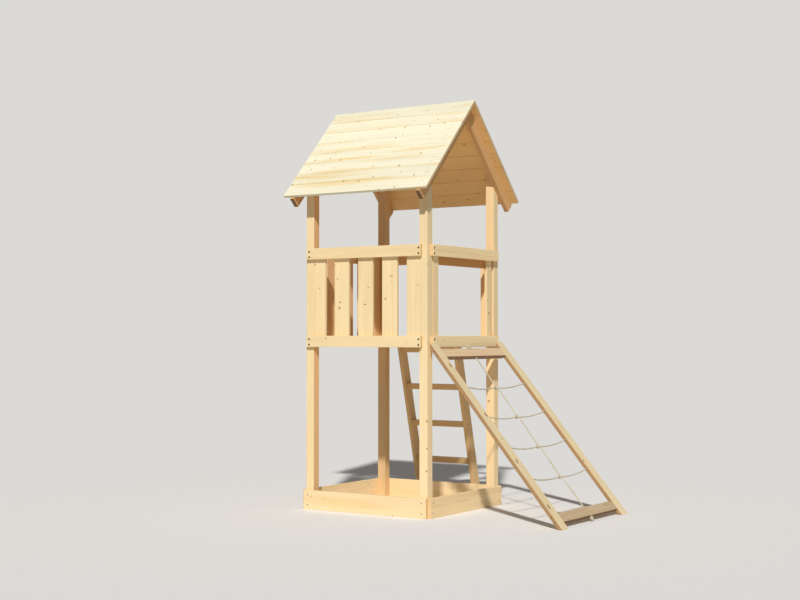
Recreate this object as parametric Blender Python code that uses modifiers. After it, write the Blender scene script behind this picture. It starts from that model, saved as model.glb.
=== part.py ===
"""Wooden garden play tower with a sandbox, a raised deck, a gabled roof, a rope-net ramp and a ladder.

Metres, +Z up. X runs along the front of the tower, Y towards its back. The tower stands on four
square posts; the sandbox boards and the rails lie on the outer faces of the posts, the railing
slats stand behind the rails, and the deck, the roof, the ramp and the ladder are fixed to them.
"""
import math

import bmesh
import bpy
from mathutils import Matrix, Vector

# Clearance between pieces that touch
FIT_GAP = 0.0003

# Posts
TOWER_WIDTH = 1.070
TOWER_DEPTH = 1.023
POST_SIZE = 0.068

# Boards laid on the outer faces of the posts
SANDBOX_BOARD_HEIGHT = 0.143
SANDBOX_BOARD_THICKNESS = 0.028
SANDBOX_FRONT_OVERHANG = 0.004
RAIL_HEIGHT = 0.083
RAIL_THICKNESS = 0.028
LOWER_RAIL_BASE = 1.209
UPPER_RAIL_BASE = 1.861
FRONT_RAIL_LEFT_SETBACK = 0.017
FRONT_RAIL_RIGHT_SETBACK = 0.041
SIDE_RAIL_SETBACK = 0.038
HEADER_RAIL_DROP = 0.056

# Railing slats
SLAT_WIDTH = 0.130
SLAT_PITCH = 0.2126
SLAT_THICKNESS = 0.022
SLAT_END_INSET = 0.006
SLAT_COUNT = 5
ENTRY_SLAT_WIDTH = 0.074
RAMP_ENTRY_FRONT_SLAT_SETBACK = 0.009
RAMP_ENTRY_REAR_SLAT_SETBACK = 0.030

# Deck
DECK_BEARER_WIDTH = 0.028
DECK_BEARER_HEIGHT = 0.045
DECK_BOARD_THICKNESS = 0.018
DECK_BOARD_COUNT = 8
DECK_BOARD_SPACING = 0.005

# Roof
ROOF_LENGTH = 1.256
ROOF_SPAN = 1.354
RIDGE_HEIGHT = 3.032
EAVE_HEIGHT = 2.333
ROOF_BOARD_THICKNESS = 0.018
ROOF_BOARDS_PER_SLOPE = 8
ROOF_GROOVE_DEPTH = 0.0025
ROOF_GROOVE_WIDTH = 0.005
RAFTER_THICKNESS = 0.035
RAFTER_DEPTH = 0.082
RAFTER_TAIL = 0.015

# Ramp
RAMP_BEAM_WIDTH = 0.095
RAMP_BEAM_THICKNESS = 0.028
RAMP_TOP_ABOVE_RAIL_BASE = 0.036
RAMP_ANGLE = math.radians(50.16)
RAMP_PLANK_WIDTH = 0.073
RAMP_PLANK_THICKNESS = 0.040
RAMP_TOP_PLANK_STATION = 0.058
RAMP_BOTTOM_PLANK_STATION = 1.490

# Rope net
ROPE_DIAMETER = 0.010
ROPE_HOLE_CLEARANCE = 0.0005
ROPE_SOCKET_DEPTH = 0.030
ROPE_ROW_COUNT = 4
ROPE_FIRST_ROW_STATION = 0.390
ROPE_ROW_SPACING = 0.268
ROPE_CENTRE_DROP = 0.022
ROPE_BAY_SAG = 0.014
ROPE_STEP = 0.034
KNOT_DIAMETER = 0.024

# Ladder
LADDER_LEAN = math.radians(14.33)
LADDER_RAIL_THICKNESS = 0.033
LADDER_RAIL_DEPTH = 0.083
LADDER_INNER_WIDTH = 0.488
LADDER_CENTRE_X = -0.136
RUNG_HEIGHT = 0.045
RUNG_DEPTH = 0.070
RUNG_COUNT = 4
RUNG_SPACING = 0.298
TOP_RUNG_BELOW_RAIL = 0.005

# Rounded edges
EDGE_ROUNDING = 0.0025
EDGE_SEGMENTS = 2
MERGE_DISTANCE = 0.00005

# Wood tones, linear RGB
SPRUCE_LIGHT = (0.83, 0.64, 0.40)
SPRUCE_ROOF = (0.87, 0.71, 0.44)
SPRUCE_TAN = (0.66, 0.47, 0.28)
ROPE_BEIGE = (0.62, 0.54, 0.42)
WOOD_ROUGHNESS = 0.65
ROPE_ROUGHNESS = 0.9

# Places that follow from the driving dimensions
POST_OUTER_X = TOWER_WIDTH / 2
POST_OUTER_Y = TOWER_DEPTH / 2
POST_INNER_X = POST_OUTER_X - POST_SIZE
POST_INNER_Y = POST_OUTER_Y - POST_SIZE
RAIL_OUTER_X = POST_OUTER_X + FIT_GAP + RAIL_THICKNESS
RAIL_OUTER_Y = POST_OUTER_Y + FIT_GAP + RAIL_THICKNESS
SLAT_INNER_X = POST_OUTER_X - SLAT_THICKNESS
SLAT_INNER_Y = POST_OUTER_Y - SLAT_THICKNESS
SLAT_BASE = LOWER_RAIL_BASE + SLAT_END_INSET
SLAT_TOP = UPPER_RAIL_BASE + RAIL_HEIGHT - SLAT_END_INSET
DECK_BASE = LOWER_RAIL_BASE + DECK_BEARER_HEIGHT + FIT_GAP
ROOF_HALF_SPAN = ROOF_SPAN / 2
ROOF_SLOPE = math.atan2(RIDGE_HEIGHT - EAVE_HEIGHT, ROOF_HALF_SPAN)
SLOPE_LENGTH = math.hypot(RIDGE_HEIGHT - EAVE_HEIGHT, ROOF_HALF_SPAN)
ROPE_RADIUS = ROPE_DIAMETER / 2
ROPE_HOLE_RADIUS = ROPE_RADIUS + ROPE_HOLE_CLEARANCE
RAMP_BEAM_Y = POST_OUTER_Y - POST_SIZE / 2
RAMP_INNER_Y = RAMP_BEAM_Y - RAMP_BEAM_WIDTH / 2
RAMP_TOP_X = RAIL_OUTER_X + FIT_GAP
RAMP_TOP_HEIGHT = LOWER_RAIL_BASE + RAMP_TOP_ABOVE_RAIL_BASE

# Turns that stand a flat outline up: in the XZ plane, and in the YZ plane
FACING_FRONT = (math.radians(90), 0, 0)
FACING_SIDE = (math.radians(90), 0, math.radians(90))


def clear_scene():
    for leftover in list(bpy.data.objects):
        bpy.data.objects.remove(leftover, do_unlink=True)


def new_collection(name):
    collection = bpy.data.collections.new(name)
    bpy.context.scene.collection.children.link(collection)
    return collection


def material(name, colour, roughness):
    made = bpy.data.materials.new(name)
    made.use_nodes = True
    shader = made.node_tree.nodes["Principled BSDF"]
    shader.inputs["Base Color"].default_value = (*colour, 1)
    shader.inputs["Roughness"].default_value = roughness
    shader.inputs["Metallic"].default_value = 0
    return made


def keep_in(collection, piece):
    for owner in list(piece.users_collection):
        owner.objects.unlink(piece)
    collection.objects.link(piece)


def finish(piece, name, colour, roughness=WOOD_ROUGHNESS):
    """Name a piece, give it its own material, and hang it on the tower."""
    piece.name = name
    piece.data.name = name
    piece.data.materials.clear()
    piece.data.materials.append(material(name, colour, roughness))
    keep_in(parts, piece)
    piece.parent = tower
    return piece


def round_edges(piece):
    rounding = piece.modifiers.new("rounded edges", "BEVEL")
    rounding.width = EDGE_ROUNDING
    rounding.segments = EDGE_SEGMENTS
    rounding.limit_method = "ANGLE"
    rounding.harden_normals = False
    return piece


def box(low, high):
    """A closed box between two corners."""
    low, high = Vector(low), Vector(high)
    bpy.ops.mesh.primitive_cube_add(size=1, location=(low + high) / 2)
    made = bpy.context.object
    made.data.transform(Matrix.Diagonal((*(high - low), 1)))
    return made


def board(name, low, high, colour=SPRUCE_LIGHT):
    return finish(round_edges(box(low, high)), name, colour)


def outline(points, thickness, centre, turn):
    """A flat outline, given its thickness evenly on both sides of its plane, as a closed mesh."""
    curve = bpy.data.curves.new("outline", "CURVE")
    curve.dimensions = "2D"
    curve.fill_mode = "BOTH"
    curve.extrude = thickness / 2
    spline = curve.splines.new("POLY")
    spline.points.add(len(points) - 1)
    for point, place in zip(spline.points, points):
        point.co = (*place, 0, 1)
    spline.use_cyclic_u = True
    drawn = bpy.data.objects.new("outline", curve)
    drawn.location = centre
    drawn.rotation_euler = turn
    bpy.context.scene.collection.objects.link(drawn)
    return curve_to_mesh(drawn)


def curve_to_mesh(drawn):
    """The evaluated curve as a welded mesh object in the same place."""
    bpy.context.view_layer.update()
    graph = bpy.context.evaluated_depsgraph_get()
    mesh = bpy.data.meshes.new_from_object(drawn.evaluated_get(graph))
    welded = bmesh.new()
    welded.from_mesh(mesh)
    bmesh.ops.remove_doubles(welded, verts=welded.verts, dist=MERGE_DISTANCE)
    bmesh.ops.recalc_face_normals(welded, faces=welded.faces)
    welded.to_mesh(mesh)
    welded.free()
    made = bpy.data.objects.new("shape", mesh)
    bpy.context.scene.collection.objects.link(made)
    made.matrix_world = drawn.matrix_world.copy()
    bpy.data.objects.remove(drawn, do_unlink=True)
    return made


def boolean(piece, tool, operation):
    """Cut or join with a tool that stays in the file as a hidden guide."""
    step = piece.modifiers.new(operation.lower(), "BOOLEAN")
    step.operation = operation
    step.solver = "EXACT"
    step.object = tool
    tool.hide_render = True
    tool.display_type = "WIRE"
    keep_in(cutters, tool)
    tool.parent = tower


def rod(start, end, radius):
    """A plain round bar between two points."""
    start, end = Vector(start), Vector(end)
    bpy.ops.mesh.primitive_cylinder_add(vertices=16, radius=radius, depth=(end - start).length)
    made = bpy.context.object
    made.location = (start + end) / 2
    made.rotation_euler = (end - start).to_track_quat("Z", "Y").to_euler()
    return made


def roof_height(y, depth=0.0):
    """Height of the roof's slope at y, or of the line that lies the given depth under it."""
    return RIDGE_HEIGHT - math.tan(ROOF_SLOPE) * abs(y) - depth / math.cos(ROOF_SLOPE)


def make_posts():
    """Four square posts, whose tops are cut to the slope of the roof."""
    for side, sx in (("left", -1), ("right", 1)):
        for end, sy in (("front", -1), ("rear", 1)):
            under_roof = ROOF_BOARD_THICKNESS + FIT_GAP
            profile = [
                (sy * POST_INNER_Y, 0),
                (sy * POST_OUTER_Y, 0),
                (sy * POST_OUTER_Y, roof_height(POST_OUTER_Y, under_roof)),
                (sy * POST_INNER_Y, roof_height(POST_INNER_Y, under_roof)),
            ]
            centre = (sx * (POST_OUTER_X - POST_SIZE / 2), 0, 0)
            post = outline(profile, POST_SIZE, centre, FACING_SIDE)
            finish(round_edges(post), f"post_{end}_{side}", SPRUCE_LIGHT)


def make_sandbox():
    """Four boards on edge around the feet of the posts."""
    inner_x = POST_OUTER_X + FIT_GAP
    inner_y = POST_OUTER_Y + FIT_GAP
    outer_x = inner_x + SANDBOX_BOARD_THICKNESS
    outer_y = inner_y + SANDBOX_BOARD_THICKNESS
    half_x = POST_OUTER_X + SANDBOX_FRONT_OVERHANG
    for end, near, far in (("front", -outer_y, -inner_y), ("rear", inner_y, outer_y)):
        board(f"sandbox_board_{end}", (-half_x, near, 0), (half_x, far, SANDBOX_BOARD_HEIGHT))
    for side, near, far in (("left", -outer_x, -inner_x), ("right", inner_x, outer_x)):
        low = (near, -POST_OUTER_Y, 0)
        high = (far, POST_OUTER_Y, SANDBOX_BOARD_HEIGHT)
        board(f"sandbox_board_{side}", low, high)


def make_rails():
    """Two rails on each side, and a header rail inside the ramp's entry."""
    left_end = -POST_OUTER_X + FRONT_RAIL_LEFT_SETBACK
    right_end = POST_OUTER_X - FRONT_RAIL_RIGHT_SETBACK
    side_end = POST_OUTER_Y - SIDE_RAIL_SETBACK
    inner_x = POST_OUTER_X + FIT_GAP
    inner_y = POST_OUTER_Y + FIT_GAP
    for level, base in (("lower", LOWER_RAIL_BASE), ("upper", UPPER_RAIL_BASE)):
        top = base + RAIL_HEIGHT
        board(f"{level}_rail_front", (left_end, -RAIL_OUTER_Y, base), (right_end, -inner_y, top))
        board(f"{level}_rail_rear", (left_end, inner_y, base), (right_end, RAIL_OUTER_Y, top))
        board(f"{level}_rail_left", (-RAIL_OUTER_X, -side_end, base), (-inner_x, side_end, top))
        board(f"{level}_rail_right", (inner_x, -side_end, base), (RAIL_OUTER_X, side_end, top))
    header_outer = SLAT_INNER_X - 2 * FIT_GAP
    header_base = UPPER_RAIL_BASE - HEADER_RAIL_DROP
    header_end = POST_INNER_Y - FIT_GAP
    board(
        "header_rail_right",
        (header_outer - RAIL_THICKNESS, -header_end, header_base),
        (header_outer, header_end, header_base + RAIL_HEIGHT),
    )


def slat_span(index, post_inner):
    """Lowest and highest place of one slat, ripped narrower where it meets a post."""
    centre = index * SLAT_PITCH
    low = max(centre - SLAT_WIDTH / 2, -post_inner + FIT_GAP)
    high = min(centre + SLAT_WIDTH / 2, post_inner - FIT_GAP)
    return low, high


def make_slats():
    """Full railings at the front and left; one narrow slat on each side of the two entries."""
    for number in range(1, SLAT_COUNT + 1):
        index = number - (SLAT_COUNT + 1) / 2
        low, high = slat_span(index, POST_INNER_X)
        front = -POST_OUTER_Y + FIT_GAP
        board(f"slat_front_{number}", (low, front, SLAT_BASE), (high, -SLAT_INNER_Y, SLAT_TOP))
        low, high = slat_span(index, POST_INNER_Y)
        outer = -POST_OUTER_X + FIT_GAP
        board(f"slat_left_{number}", (outer, low, SLAT_BASE), (-SLAT_INNER_X, high, SLAT_TOP))
    rear = POST_OUTER_Y - FIT_GAP
    post_side = POST_INNER_X - FIT_GAP
    entry_side = post_side - ENTRY_SLAT_WIDTH
    for side, low, high in (("left", -post_side, -entry_side), ("right", entry_side, post_side)):
        board(f"slat_rear_{side}", (low, SLAT_INNER_Y, SLAT_BASE), (high, rear, SLAT_TOP))
    outer = POST_OUTER_X - FIT_GAP
    front_start = -POST_INNER_Y + RAMP_ENTRY_FRONT_SLAT_SETBACK
    rear_end = POST_INNER_Y - RAMP_ENTRY_REAR_SLAT_SETBACK
    for end, low, high in (
        ("front", front_start, front_start + ENTRY_SLAT_WIDTH),
        ("rear", rear_end - ENTRY_SLAT_WIDTH, rear_end),
    ):
        board(f"slat_right_{end}", (SLAT_INNER_X, low, SLAT_BASE), (outer, high, SLAT_TOP))


def make_deck():
    """Bearers between the posts, and boards across them, the outer two notched round the posts."""
    bearer_outer = POST_INNER_X - FIT_GAP
    bearer_inner = bearer_outer - DECK_BEARER_WIDTH
    bearer_end = SLAT_INNER_Y - FIT_GAP
    bearer_top = LOWER_RAIL_BASE + DECK_BEARER_HEIGHT
    for side, near, far in (
        ("left", -bearer_outer, -bearer_inner),
        ("right", bearer_inner, bearer_outer),
    ):
        low = (near, -bearer_end, LOWER_RAIL_BASE)
        board(f"deck_bearer_{side}", low, (far, bearer_end, bearer_top))

    half_depth = SLAT_INNER_Y - FIT_GAP
    half_length = SLAT_INNER_X - FIT_GAP
    notch_x = POST_INNER_X - FIT_GAP
    notch_y = POST_INNER_Y - FIT_GAP
    spacing_total = (DECK_BOARD_COUNT - 1) * DECK_BOARD_SPACING
    width = (2 * half_depth - spacing_total) / DECK_BOARD_COUNT
    middle = DECK_BASE + DECK_BOARD_THICKNESS / 2
    for number in range(DECK_BOARD_COUNT):
        near = -half_depth + number * (width + DECK_BOARD_SPACING)
        far = near + width
        edge = [(-half_length, near), (half_length, near), (half_length, far), (-half_length, far)]
        if near < -notch_y:
            edge = [
                (-notch_x, near), (notch_x, near), (notch_x, -notch_y), (half_length, -notch_y),
                (half_length, far), (-half_length, far), (-half_length, -notch_y), (-notch_x, -notch_y),
            ]
        if far > notch_y:
            edge = [
                (-half_length, near), (half_length, near), (half_length, notch_y), (notch_x, notch_y),
                (notch_x, far), (-notch_x, far), (-notch_x, notch_y), (-half_length, notch_y),
            ]
        shape = outline(edge, DECK_BOARD_THICKNESS, (0, 0, middle), (0, 0, 0))
        finish(round_edges(shape), f"deck_board_{number + 1}", SPRUCE_LIGHT)


def slope_point(along, depth):
    """A point of the rear slope: along it from the ridge, and at a depth under its surface."""
    y = along * math.cos(ROOF_SLOPE) - depth * math.sin(ROOF_SLOPE)
    z = RIDGE_HEIGHT - along * math.sin(ROOF_SLOPE) - depth * math.cos(ROOF_SLOPE)
    return y, z


def slope_edge(first, last, depth, groove):
    """One face of a slope from first to last along it, with a V groove at each seam."""
    board_width = SLOPE_LENGTH / ROOF_BOARDS_PER_SLOPE
    places = [slope_point(first, depth)]
    for seam in range(1, ROOF_BOARDS_PER_SLOPE):
        middle = seam * board_width
        places.append(slope_point(middle - ROOF_GROOVE_WIDTH / 2, depth))
        places.append(slope_point(middle, depth + groove))
        places.append(slope_point(middle + ROOF_GROOVE_WIDTH / 2, depth))
    places.append(slope_point(last, depth))
    return places


def make_roof():
    """Two slopes of tongue-and-groove boards; the front one laps over the top of the rear one."""
    thickness = ROOF_BOARD_THICKNESS
    ridge_angle = math.pi - 2 * ROOF_SLOPE

    top = slope_edge(0, SLOPE_LENGTH, 0, ROOF_GROOVE_DEPTH)
    under = slope_edge(thickness / math.tan(ridge_angle), SLOPE_LENGTH, thickness, -ROOF_GROOVE_DEPTH)
    front = [(-y, z) for y, z in top + under[::-1]]
    shape = outline(front, ROOF_LENGTH, (0, 0, 0), FACING_SIDE)
    finish(shape, "roof_panel_front", SPRUCE_ROOF)

    top_start = thickness / math.sin(ridge_angle) + FIT_GAP
    under_start = thickness * math.tan(ROOF_SLOPE) + FIT_GAP
    top = slope_edge(top_start, SLOPE_LENGTH, 0, ROOF_GROOVE_DEPTH)
    under = slope_edge(under_start, SLOPE_LENGTH, thickness, -ROOF_GROOVE_DEPTH)
    shape = outline(top + under[::-1], ROOF_LENGTH, (0, 0, 0), FACING_SIDE)
    finish(shape, "roof_panel_rear", SPRUCE_ROOF)

    make_rafters()


def make_rafters():
    """Two pairs of rafters on the outer faces of the posts, plumb cut at the ridge."""
    upper = ROOF_BOARD_THICKNESS + FIT_GAP
    lower = upper + RAFTER_DEPTH
    tail = SLOPE_LENGTH + RAFTER_TAIL
    for end, sy in (("front", -1), ("rear", 1)):
        profile = [
            (FIT_GAP, roof_height(FIT_GAP, upper)),
            slope_point(tail, upper),
            slope_point(tail, lower),
            (FIT_GAP, roof_height(FIT_GAP, lower)),
        ]
        profile = [(sy * y, z) for y, z in profile]
        for side, sx in (("left", -1), ("right", 1)):
            centre = (sx * (POST_OUTER_X + FIT_GAP + RAFTER_THICKNESS / 2), 0, 0)
            shape = outline(profile, RAFTER_THICKNESS, centre, FACING_SIDE)
            finish(round_edges(shape), f"rafter_{end}_{side}", SPRUCE_TAN)


def ramp_point(station, depth, y):
    """A point of the ramp: down its slope from the rail, at a depth under its upper face."""
    x = RAMP_TOP_X + station * math.cos(RAMP_ANGLE) - depth * math.sin(RAMP_ANGLE)
    z = RAMP_TOP_HEIGHT - station * math.sin(RAMP_ANGLE) - depth * math.cos(RAMP_ANGLE)
    return Vector((x, y, z))


def rope_rows():
    for row in range(ROPE_ROW_COUNT):
        yield ROPE_FIRST_ROW_STATION + row * ROPE_ROW_SPACING


def make_ramp():
    """Two beams from the lower right rail down to the ground, tied by two planks."""
    upright = RAMP_BEAM_THICKNESS / math.cos(RAMP_ANGLE)
    foot_x = RAMP_TOP_X + RAMP_TOP_HEIGHT / math.tan(RAMP_ANGLE)
    profile = [
        (RAMP_TOP_X, RAMP_TOP_HEIGHT - upright),
        (foot_x - RAMP_BEAM_THICKNESS / math.sin(RAMP_ANGLE), 0),
        (foot_x, 0),
        (RAMP_TOP_X, RAMP_TOP_HEIGHT),
    ]
    rope_depth = RAMP_BEAM_THICKNESS / 2
    for end, sy in (("front", -1), ("rear", 1)):
        centre = (0, sy * RAMP_BEAM_Y, 0)
        shape = outline(profile, RAMP_BEAM_WIDTH, centre, FACING_FRONT)
        beam = finish(round_edges(shape), f"ramp_beam_{end}", SPRUCE_TAN)
        for station in rope_rows():
            mouth = ramp_point(station, rope_depth, sy * (RAMP_INNER_Y - ROPE_RADIUS))
            bottom = ramp_point(station, rope_depth, sy * (RAMP_INNER_Y + ROPE_SOCKET_DEPTH))
            boolean(beam, rod(mouth, bottom, ROPE_HOLE_RADIUS), "DIFFERENCE")

    half_plank = RAMP_INNER_Y - FIT_GAP
    for place, station in (("top", RAMP_TOP_PLANK_STATION), ("bottom", RAMP_BOTTOM_PLANK_STATION)):
        shape = box(
            (-RAMP_PLANK_WIDTH / 2, -half_plank, -RAMP_PLANK_THICKNESS / 2),
            (RAMP_PLANK_WIDTH / 2, half_plank, RAMP_PLANK_THICKNESS / 2),
        )
        centre_station = station + RAMP_PLANK_WIDTH / 2
        shape.location = ramp_point(centre_station, RAMP_PLANK_THICKNESS / 2, 0)
        shape.rotation_euler = (0, RAMP_ANGLE, 0)
        plank = finish(round_edges(shape), f"ramp_plank_{place}", SPRUCE_TAN)
        above = ramp_point(station - ROPE_DIAMETER, rope_depth, 0)
        below = ramp_point(station + RAMP_PLANK_WIDTH + ROPE_DIAMETER, rope_depth, 0)
        boolean(plank, rod(above, below, ROPE_HOLE_RADIUS), "DIFFERENCE")


def rope(points):
    """A round rope along the points, as a closed mesh."""
    curve = bpy.data.curves.new("rope", "CURVE")
    curve.dimensions = "3D"
    curve.bevel_depth = ROPE_RADIUS
    curve.bevel_resolution = 2
    curve.use_fill_caps = True
    spline = curve.splines.new("POLY")
    spline.points.add(len(points) - 1)
    for point, place in zip(spline.points, points):
        point.co = (*place, 1)
    drawn = bpy.data.objects.new("rope", curve)
    bpy.context.scene.collection.objects.link(drawn)
    return curve_to_mesh(drawn)


def knot(place):
    bpy.ops.mesh.primitive_uv_sphere_add(segments=10, ring_count=6, radius=KNOT_DIAMETER / 2)
    made = bpy.context.object
    made.location = place
    return made


def row_drop(y):
    """How far a cross rope hangs below a straight line between its two beams."""
    towards_beam = abs(y) / RAMP_INNER_Y
    bay = 4 * towards_beam * (1 - towards_beam)
    return ROPE_CENTRE_DROP * (1 - towards_beam) + ROPE_BAY_SAG * bay


def make_rope_net():
    """A rope down the middle of the ramp through both planks, and cross ropes knotted to it."""
    rope_depth = RAMP_BEAM_THICKNESS / 2
    half_steps = math.ceil(RAMP_INNER_Y / ROPE_STEP)
    crossings = []
    cross_ropes = []
    for station in rope_rows():
        points = []
        for step in range(-half_steps, half_steps + 1):
            y = RAMP_INNER_Y * step / half_steps
            points.append(ramp_point(station, rope_depth, y) - Vector((0, 0, row_drop(y))))
        inside = ROPE_SOCKET_DEPTH - FIT_GAP
        points.insert(0, ramp_point(station, rope_depth, -RAMP_INNER_Y - inside))
        points.append(ramp_point(station, rope_depth, RAMP_INNER_Y + inside))
        crossings.append(points[half_steps + 1])
        cross_ropes.append(rope(points))

    top_knot = ramp_point(RAMP_TOP_PLANK_STATION - KNOT_DIAMETER / 2 - FIT_GAP, rope_depth, 0)
    below_top = ramp_point(RAMP_TOP_PLANK_STATION + RAMP_PLANK_WIDTH + ROPE_DIAMETER, rope_depth, 0)
    above_bottom = ramp_point(RAMP_BOTTOM_PLANK_STATION - ROPE_DIAMETER, rope_depth, 0)
    past_plank = RAMP_BOTTOM_PLANK_STATION + RAMP_PLANK_WIDTH + KNOT_DIAMETER / 2 + FIT_GAP
    bottom_knot = ramp_point(past_plank, rope_depth, 0)
    net = rope([top_knot, below_top, *crossings, above_bottom, bottom_knot])
    finish(net, "rope_net", ROPE_BEIGE, ROPE_ROUGHNESS)
    for piece in [*cross_ropes, *map(knot, [top_knot, *crossings, bottom_knot])]:
        boolean(net, piece, "UNION")


def make_ladder():
    """A ladder that leans on the lower rear rail, with level rungs between its two rails."""
    lean = math.tan(LADDER_LEAN)
    front_y = RAIL_OUTER_Y + FIT_GAP
    rail_top = LOWER_RAIL_BASE + RAIL_HEIGHT
    across = LADDER_RAIL_DEPTH / math.cos(LADDER_LEAN)
    foot_y = front_y + LOWER_RAIL_BASE * lean
    profile = [
        (foot_y, 0),
        (foot_y + across, 0),
        (front_y + across - RAIL_HEIGHT * lean, rail_top),
        (front_y, rail_top),
        (front_y, LOWER_RAIL_BASE),
    ]
    inner = LADDER_INNER_WIDTH / 2
    for side, sx in (("left", -1), ("right", 1)):
        centre = (LADDER_CENTRE_X + sx * (inner + LADDER_RAIL_THICKNESS / 2), 0, 0)
        shape = outline(profile, LADDER_RAIL_THICKNESS, centre, FACING_SIDE)
        finish(round_edges(shape), f"ladder_rail_{side}", SPRUCE_TAN)
    half_rung = inner - FIT_GAP
    top_rung = LOWER_RAIL_BASE - TOP_RUNG_BELOW_RAIL
    for number in range(RUNG_COUNT):
        top = top_rung - number * RUNG_SPACING
        middle = top - RUNG_HEIGHT / 2
        y = front_y + (LOWER_RAIL_BASE - middle) * lean + across / 2
        low = (LADDER_CENTRE_X - half_rung, y - RUNG_DEPTH / 2, top - RUNG_HEIGHT)
        high = (LADDER_CENTRE_X + half_rung, y + RUNG_DEPTH / 2, top)
        board(f"ladder_rung_{RUNG_COUNT - number}", low, high, SPRUCE_TAN)


def stand_on_origin():
    """Move the whole tower so that the middle of its bounding box's base is the origin."""
    bpy.context.view_layer.update()
    graph = bpy.context.evaluated_depsgraph_get()
    corners = []
    for piece in parts.objects:
        if piece.type == "EMPTY":
            continue
        shown = piece.evaluated_get(graph)
        corners += [shown.matrix_world @ vertex.co for vertex in shown.data.vertices]
    middle = [
        (min(corner[axis] for corner in corners) + max(corner[axis] for corner in corners)) / 2
        for axis in (0, 1)
    ]
    tower.location = (-middle[0], -middle[1], -min(corner.z for corner in corners))


clear_scene()
parts = new_collection("play_tower")
cutters = new_collection("cutters")
tower = bpy.data.objects.new("tower", None)
parts.objects.link(tower)
make_posts()
make_sandbox()
make_rails()
make_slats()
make_deck()
make_roof()
make_ramp()
make_rope_net()
make_ladder()
stand_on_origin()
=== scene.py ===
import math
import random

import bmesh
import bpy
from mathutils import Matrix, Vector


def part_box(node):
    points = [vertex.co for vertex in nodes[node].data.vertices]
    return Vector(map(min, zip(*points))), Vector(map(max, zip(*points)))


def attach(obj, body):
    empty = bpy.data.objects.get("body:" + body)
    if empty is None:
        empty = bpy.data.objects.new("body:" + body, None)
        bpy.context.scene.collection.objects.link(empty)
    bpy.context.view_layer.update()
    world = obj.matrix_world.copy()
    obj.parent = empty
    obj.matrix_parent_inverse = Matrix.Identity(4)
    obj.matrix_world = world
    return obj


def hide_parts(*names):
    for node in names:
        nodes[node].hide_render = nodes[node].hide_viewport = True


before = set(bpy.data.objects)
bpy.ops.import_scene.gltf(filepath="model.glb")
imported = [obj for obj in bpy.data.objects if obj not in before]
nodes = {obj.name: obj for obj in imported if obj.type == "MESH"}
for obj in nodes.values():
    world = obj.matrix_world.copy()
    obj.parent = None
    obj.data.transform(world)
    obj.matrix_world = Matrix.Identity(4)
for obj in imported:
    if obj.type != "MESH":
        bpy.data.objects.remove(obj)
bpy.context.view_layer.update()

# Posts
# Four square posts of planed spruce, their tops cut to the slope of the roof.
# Outside, the spruce is pale cream; faces that look inward carry painted shade,
# a warmer and browner colour set for each post.
ACROSS_X = (1, 0, 0)
ACROSS_Y = (0, 1, 0)
UPRIGHT = (0, 0, 1)
POST_SIDE = 0.068
RING_SPACING = 0.0085  # a real ring is about 3 mm, drawn wider so that it shows at this distance
KNOT_SPACING = 0.12  # the mean distance between places where a knot can be
# How often each pattern changes in a metre along the grain, across the face and through the board.
WANDER = (0.9, 7, 7)  # rings drift over 140 mm, as in a trunk that isn't quite straight
FIBRES = (5, 330, 330)  # streaks 3 mm wide, drawn coarser than real fibres, which don't show
HEART_STREAKS = (0.9, 17, 17)  # golden heartwood in streaks 60 mm wide
PATCHES = (1.7, 14, 14)  # clouds of tone 70 mm wide and 600 mm long
SPRUCE = {
    "early": "F9E0AF", "late": "E8C68D", "heart": "F2CC90", "knot": "9A6437", "sawn": "E0BC86",
    # inner: painted shade for faces that look inward
    "inner": "F0BE84",
}


def linear(hex_colour):
    """An sRGB hex colour as linear RGBA."""
    parts = [int(hex_colour[place:place + 2], 16) / 255 for place in (0, 2, 4)]
    return (*[v / 12.92 if v <= 0.04045 else ((v + 0.055) / 1.055) ** 2.4 for v in parts], 1)


def add(tree, kind, links=None, **settings):
    """Add a node with its settings; links fill its inputs, each from an output or with a value."""
    node = tree.nodes.new(kind)
    for name, value in settings.items():
        setattr(node, name, value)
    for name, value in (links or {}).items():
        if isinstance(value, bpy.types.NodeSocket):
            tree.links.new(value, node.inputs[name])
        else:
            node.inputs[name].default_value = value
    return node


def turn_of(along, across):
    """The turn that lays X along a board's grain and Y across its face."""
    along = Vector(along).normalized()
    across = Vector(across).normalized()
    return Matrix((along, across, along.cross(across))).transposed().to_euler()


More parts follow.
